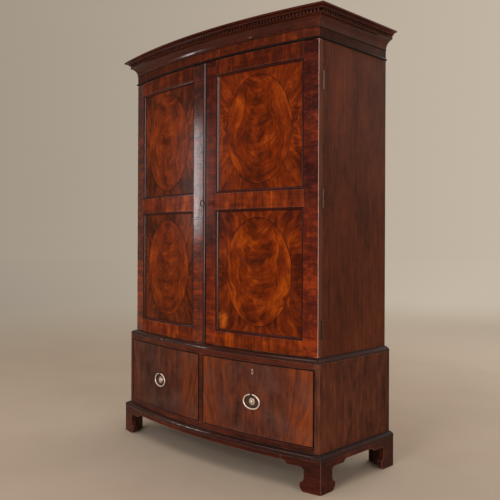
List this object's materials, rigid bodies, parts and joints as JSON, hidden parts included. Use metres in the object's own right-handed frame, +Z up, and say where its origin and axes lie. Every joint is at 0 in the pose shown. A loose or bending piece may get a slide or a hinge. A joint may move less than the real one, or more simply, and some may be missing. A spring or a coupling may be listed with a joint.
{
  "type": "linen press",
  "caption": "Bow-front linen press: panelled cupboard doors over sliding linen trays, drawers with ring pulls below, dentil cornice above and bracket feet.",
  "frame": {"origin": "on the floor, below the centre of the whole press's box", "axes": "+Z up, the doors and drawers face -Y, +X is to the right of someone who faces the doors"},
  "size_m": [1.314, 0.5919, 1.91],
  "materials": {
    "mahogany": "old red-brown mahogany, waxed to a soft polish",
    "figured_mahogany": "flame-figured mahogany veneer, waxed to a soft polish",
    "oak": "plain oak, dry and mellow",
    "pine": "plain pine, dry and darkened",
    "brass": "lacquered brass, bright on the high parts and dark in the hollows",
    "steel": "filed steel, slightly dull"
  },
  "bodies": {
    "carcase": {"base_back_boards": "pine", "base_bottom_board": "pine", "base_partition": "pine", "base_side_left": "mahogany", "base_side_right": "mahogany", "base_top_board": "mahogany", "base_top_rail": "mahogany", "bracket_feet": "mahogany", "carcase_hinge_leaves": "brass", "cornice_astragal": "mahogany", "cornice_cove": "mahogany", "cornice_crown": "mahogany", "cornice_dentils": "mahogany", "cornice_dust_board": "pine", "cornice_frieze": "mahogany", "glue_blocks": "pine", "hinge_pins": "steel", "plinth_aprons": "mahogany", "plinth_moulding": "mahogany", "tray_bearers": "pine", "upper_back_boards": "pine", "upper_bottom_board": "pine", "upper_side_left": "mahogany", "upper_side_right": "mahogany", "upper_top_board": "pine", "waist_moulding": "mahogany"},
    "left_door": {"door_keeper": "brass", "door_left_hinge_leaves": "brass", "door_left_meeting_bead": "mahogany", "door_left_ovals": "figured_mahogany", "door_left_panel_mouldings": "mahogany", "door_left_panels": "figured_mahogany", "door_left_rails": "mahogany", "door_left_stiles": "mahogany"},
    "right_door": {"door_escutcheon": "brass", "door_lock_case": "steel", "door_right_hinge_leaves": "brass", "door_right_ovals": "figured_mahogany", "door_right_panel_mouldings": "mahogany", "door_right_panels": "figured_mahogany", "door_right_rails": "mahogany", "door_right_stiles": "mahogany"},
    "lock_bolt": {"door_lock_bolt": "steel"},
    "key": {"door_key": "brass"},
    "left_drawer": {"drawer_left_box": "oak", "drawer_left_cock_bead": "mahogany", "drawer_left_escutcheon": "brass", "drawer_left_front": "figured_mahogany", "drawer_left_handle_plate": "brass"},
    "left_ring": {"drawer_left_handle_ring": "brass"},
    "right_drawer": {"drawer_right_box": "oak", "drawer_right_cock_bead": "mahogany", "drawer_right_escutcheon": "brass", "drawer_right_front": "figured_mahogany", "drawer_right_handle_plate": "brass"},
    "right_ring": {"drawer_right_handle_ring": "brass"},
    "tray_1": {"linen_tray_1": "oak"},
    "tray_2": {"linen_tray_2": "oak"},
    "tray_3": {"linen_tray_3": "oak"},
    "tray_4": {"linen_tray_4": "oak"}
  },
  "joints": [
    {"name": "left_door_hinge", "type": "hinge", "parent": "carcase", "child": "left_door", "pos_m": [-0.6042, -0.1521, 1.155], "axis": [0, 0, -1], "range_deg": [0, 170]},
    {"name": "right_door_hinge", "type": "hinge", "parent": "carcase", "child": "right_door", "pos_m": [0.6042, -0.1521, 1.155], "axis": [0, 0, 1], "range_deg": [0, 170]},
    {"name": "key_turn", "type": "hinge", "parent": "right_door", "child": "key", "pos_m": [0.014, -0.239, 1.152], "axis": [0, -1, 0], "range_deg": [0, 180]},
    {"name": "lock_bolt_slide", "type": "slide", "parent": "right_door", "child": "lock_bolt", "axis": [-1, 0, 0], "range_m": [0, 0.0081]},
    {"name": "left_drawer_slide", "type": "slide", "parent": "carcase", "child": "left_drawer", "axis": [0, -1, 0], "range_m": [0, 0.35]},
    {"name": "left_ring_swing", "type": "hinge", "parent": "left_drawer", "child": "left_ring", "pos_m": [-0.30768, -0.25359, 0.344], "axis": [-0.9946, 0.1038, 0], "range_deg": [0, 90]},
    {"name": "right_drawer_slide", "type": "slide", "parent": "carcase", "child": "right_drawer", "axis": [0, -1, 0], "range_m": [0, 0.35]},
    {"name": "right_ring_swing", "type": "hinge", "parent": "right_drawer", "child": "right_ring", "pos_m": [0.30768, -0.25359, 0.344], "axis": [-0.9946, -0.1038, 0], "range_deg": [0, 90]},
    {"name": "tray_1_slide", "type": "slide", "parent": "carcase", "child": "tray_1", "axis": [0, -1, 0], "range_m": [0, 0.03]},
    {"name": "tray_2_slide", "type": "slide", "parent": "carcase", "child": "tray_2", "axis": [0, -1, 0], "range_m": [0, 0.03]},
    {"name": "tray_3_slide", "type": "slide", "parent": "carcase", "child": "tray_3", "axis": [0, -1, 0], "range_m": [0, 0.03]},
    {"name": "tray_4_slide", "type": "slide", "parent": "carcase", "child": "tray_4", "axis": [0, -1, 0], "range_m": [0, 0.03]}
  ],
  "couplings": [
    {"joint": "lock_bolt_slide", "follows": "key_turn", "m_per_rad": 0.0025465}
  ]
}
